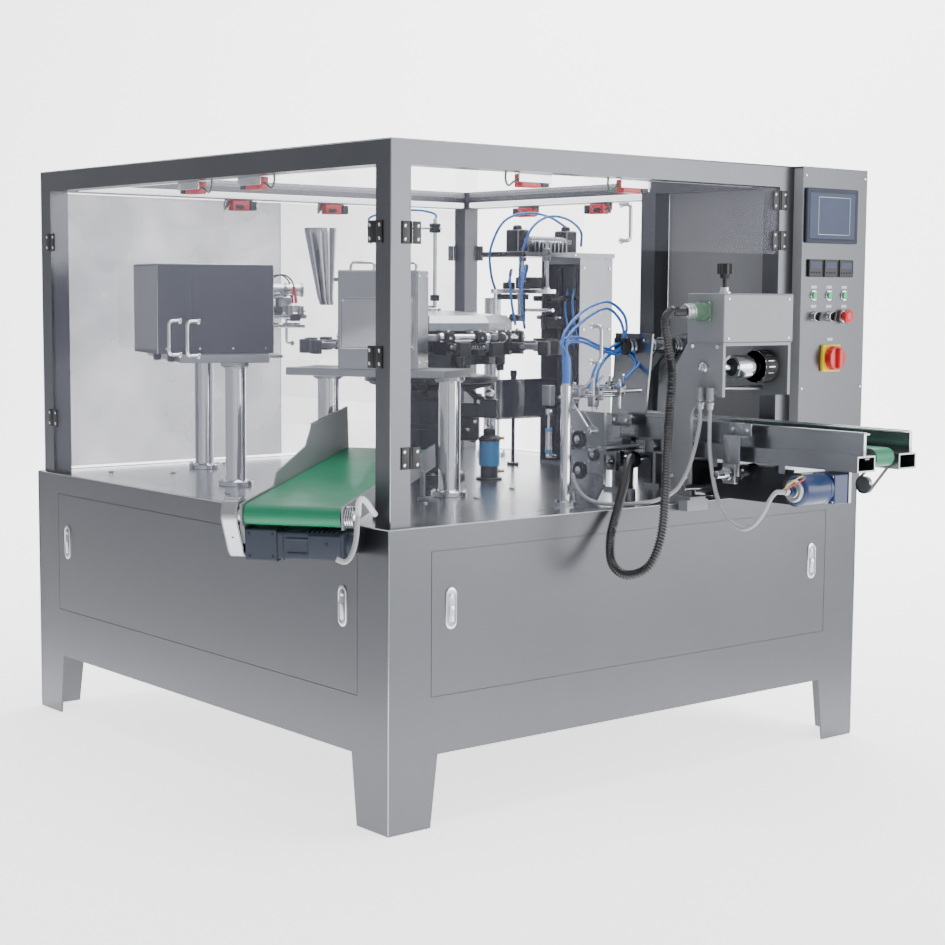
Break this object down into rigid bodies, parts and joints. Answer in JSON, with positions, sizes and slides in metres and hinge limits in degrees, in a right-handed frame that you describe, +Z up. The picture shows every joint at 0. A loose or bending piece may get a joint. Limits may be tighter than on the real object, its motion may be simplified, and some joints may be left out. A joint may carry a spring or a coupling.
{
  "type": "rotary packaging machine",
  "caption": "Glazed rotary pouch packer: a gripper turret with sealing, cooling, filling and opening stations, a bag magazine out of the front and a discharge conveyor to the left.",
  "frame": {"origin": "middle of the box round the machine with its conveyor and magazine, hoses apart, at the floor", "axes": "+Z up, +X right along the front, +Y from the front to the back; the magazine runs out towards -Y and the conveyor towards -X"},
  "size_m": [2.0546, 2.418, 1.68],
  "materials": {
    "satin_stainless": "satin",
    "machined_plate": "machined",
    "chrome": "polished",
    "clear_acrylic": "polished",
    "black_anodised": "anodised",
    "black_rubber": "matt",
    "green_belt": "smooth",
    "navy_paint": "gloss",
    "blue_enamel": "gloss",
    "red_plastic": "gloss",
    "green_plastic": "gloss",
    "slate_plastic": "matt",
    "grey_hose": "matt"
  },
  "bodies": {
    "machine": {"base_cabinet": "satin_stainless", "deck_plate": "machined_plate", "upper_frame": "satin_stainless", "roof_panel": "clear_acrylic", "electric_cabinet": "satin_stainless", "touch_screen": "slate_plastic", "turret_column": "black_anodised", "air_cylinder": "blue_enamel", "sealer_stand": "machined_plate", "sealer_cover": "satin_stainless", "cooler_stand": "machined_plate", "cooler_cover": "satin_stainless", "funnel_post": "chrome", "opening_tower": "machined_plate", "hose_post": "chrome", "screen_post": "machined_plate", "magazine_frame": "satin_stainless", "magazine_belt": "green_belt", "feed_gantry": "satin_stainless", "feed_cover": "satin_stainless", "feed_motor": "navy_paint", "discharge_frame": "satin_stainless", "discharge_belt": "green_belt", "discharge_motor": "slate_plastic", "main_drive": "navy_paint", "fat_hose": "black_rubber", "left_hose": "grey_hose", "right_hose": "grey_hose"},
    "front_left_door": {"front_left_door": "clear_acrylic", "front_left_handle": "chrome"},
    "front_right_door": {"front_right_door": "clear_acrylic", "front_right_handle": "chrome"},
    "left_near_door": {"left_near_door": "clear_acrylic", "left_near_handle": "chrome"},
    "left_far_door": {"left_far_door": "clear_acrylic", "left_far_handle": "chrome"},
    "turret": {"turret_table": "machined_plate", "turret_lid": "satin_stainless"},
    "rear_left_door": {"rear_left_door": "clear_acrylic"},
    "rear_right_door": {"rear_right_door": "clear_acrylic"},
    "right_near_door": {"right_near_door": "clear_acrylic"},
    "right_far_door": {"right_far_door": "clear_acrylic"},
    "front_panel": {"front_panel": "satin_stainless"},
    "rear_panel": {"rear_panel": "satin_stainless"},
    "left_panel": {"left_panel": "satin_stainless"},
    "right_panel": {"right_panel": "satin_stainless"},
    "left_button": {"left_button": "green_plastic"},
    "middle_button": {"middle_button": "green_plastic"},
    "right_button": {"right_button": "green_plastic"},
    "left_selector": {"left_selector": "black_anodised"},
    "middle_selector": {"middle_selector": "black_anodised"},
    "emergency_stop": {"emergency_stop": "red_plastic"},
    "main_switch": {"main_switch": "red_plastic"},
    "funnel": {"funnel": "satin_stainless"},
    "opening_head": {"opening_head": "chrome"},
    "belt_pulley": {"belt_pulley": "chrome"},
    "height_knob": {"height_knob": "black_anodised"},
    "feed_roller": {"feed_roller": "chrome"},
    "suction_arm": {"suction_arm": "black_anodised"},
    "discharge_roller": {"discharge_roller": "chrome"}
  },
  "joints": [
    {"name": "front_left_door_turn", "type": "hinge", "parent": "machine", "child": "front_left_door", "pos_m": [-0.66335, -0.637, 0.761], "axis": [0, 0, -1], "range_deg": [0, 100]},
    {"name": "front_right_door_turn", "type": "hinge", "parent": "machine", "child": "front_right_door", "pos_m": [0.64975, -0.637, 1.432], "axis": [0, 0, 1], "range_deg": [0, 100]},
    {"name": "left_near_door_turn", "type": "hinge", "parent": "machine", "child": "left_near_door", "pos_m": [-0.72365, -0.5767, 0.761], "axis": [0, 0, 1], "range_deg": [0, 100]},
    {"name": "left_far_door_turn", "type": "hinge", "parent": "machine", "child": "left_far_door", "pos_m": [-0.72365, 1.1077, 0.761], "axis": [0, 0, -1], "range_deg": [0, 100]},
    {"name": "rear_left_door_turn", "type": "hinge", "parent": "machine", "child": "rear_left_door", "pos_m": [-0.66335, 1.168, 0.761], "axis": [0, 0, 1], "range_deg": [0, 100]},
    {"name": "rear_right_door_turn", "type": "hinge", "parent": "machine", "child": "rear_right_door", "pos_m": [0.92605, 1.168, 0.761], "axis": [0, 0, -1], "range_deg": [0, 100]},
    {"name": "right_near_door_turn", "type": "hinge", "parent": "machine", "child": "right_near_door", "pos_m": [0.98635, -0.0824, 0.761], "axis": [0, 0, -1], "range_deg": [0, 100]},
    {"name": "right_far_door_turn", "type": "hinge", "parent": "machine", "child": "right_far_door", "pos_m": [0.98635, 1.1077, 0.761], "axis": [0, 0, 1], "range_deg": [0, 100]},
    {"name": "front_panel_turn", "type": "hinge", "parent": "machine", "child": "front_panel", "pos_m": [0.12785, -0.653, 0.6885], "axis": [-1, 0, 0], "range_deg": [0, 30]},
    {"name": "rear_panel_turn", "type": "hinge", "parent": "machine", "child": "rear_panel", "pos_m": [0.12785, 1.184, 0.6885], "axis": [1, 0, 0], "range_deg": [0, 30]},
    {"name": "left_panel_turn", "type": "hinge", "parent": "machine", "child": "left_panel", "pos_m": [-0.73965, 0.2635, 0.6885], "axis": [0, 1, 0], "range_deg": [0, 30]},
    {"name": "right_panel_turn", "type": "hinge", "parent": "machine", "child": "right_panel", "pos_m": [1.00235, 0.2635, 0.6885], "axis": [0, -1, 0], "range_deg": [0, 30]},
    {"name": "turret_turn", "type": "hinge", "parent": "machine", "child": "turret", "pos_m": [0.11035, 0.267, 1.105], "axis": [0, 0, 1], "continuous": true},
    {"name": "funnel_slide", "type": "slide", "parent": "machine", "child": "funnel", "axis": [0, 0, 1], "range_m": [-0.06, 0]},
    {"name": "opening_head_slide", "type": "slide", "parent": "machine", "child": "opening_head", "axis": [0, 0, 1], "range_m": [-0.03, 0]},
    {"name": "feed_roller_turn", "type": "hinge", "parent": "machine", "child": "feed_roller", "pos_m": [0.41035, -0.713, 1.12], "axis": [1, 0, 0], "continuous": true},
    {"name": "belt_pulley_turn", "type": "hinge", "parent": "machine", "child": "belt_pulley", "pos_m": [0.42935, -1.179, 0.905], "axis": [1, 0, 0], "continuous": true},
    {"name": "discharge_roller_turn", "type": "hinge", "parent": "machine", "child": "discharge_roller", "pos_m": [-0.89091, -0.47769, 0.7811], "axis": [-0.6018, 0.7986, 0], "continuous": true},
    {"name": "height_knob_turn", "type": "hinge", "parent": "machine", "child": "height_knob", "pos_m": [0.34535, -0.715, 1.32], "axis": [0, 0, 1], "continuous": true},
    {"name": "suction_arm_turn", "type": "hinge", "parent": "machine", "child": "suction_arm", "pos_m": [0.43785, -0.353, 1.167], "axis": [1, 0, 0], "range_deg": [-40, 40]},
    {"name": "left_button_slide", "type": "slide", "parent": "machine", "child": "left_button", "axis": [0, 1, 0], "range_m": [0, 0.004], "stiffness_N_per_m": 900, "springref_m": -0.002},
    {"name": "middle_button_slide", "type": "slide", "parent": "machine", "child": "middle_button", "axis": [0, 1, 0], "range_m": [0, 0.004], "stiffness_N_per_m": 900, "springref_m": -0.002},
    {"name": "right_button_slide", "type": "slide", "parent": "machine", "child": "right_button", "axis": [0, 1, 0], "range_m": [0, 0.004], "stiffness_N_per_m": 900, "springref_m": -0.002},
    {"name": "emergency_stop_slide", "type": "slide", "parent": "machine", "child": "emergency_stop", "axis": [0, 1, 0], "range_m": [0, 0.006]},
    {"name": "left_selector_turn", "type": "hinge", "parent": "machine", "child": "left_selector", "pos_m": [0.76735, -0.669, 1.256], "axis": [0, 1, 0], "range_deg": [-45, 45]},
    {"name": "middle_selector_turn", "type": "hinge", "parent": "machine", "child": "middle_selector", "pos_m": [0.83435, -0.669, 1.256], "axis": [0, 1, 0], "range_deg": [-45, 45]},
    {"name": "main_switch_turn", "type": "hinge", "parent": "machine", "child": "main_switch", "pos_m": [0.84335, -0.669, 1.136], "axis": [0, 1, 0], "range_deg": [0, 90]}
  ]
}
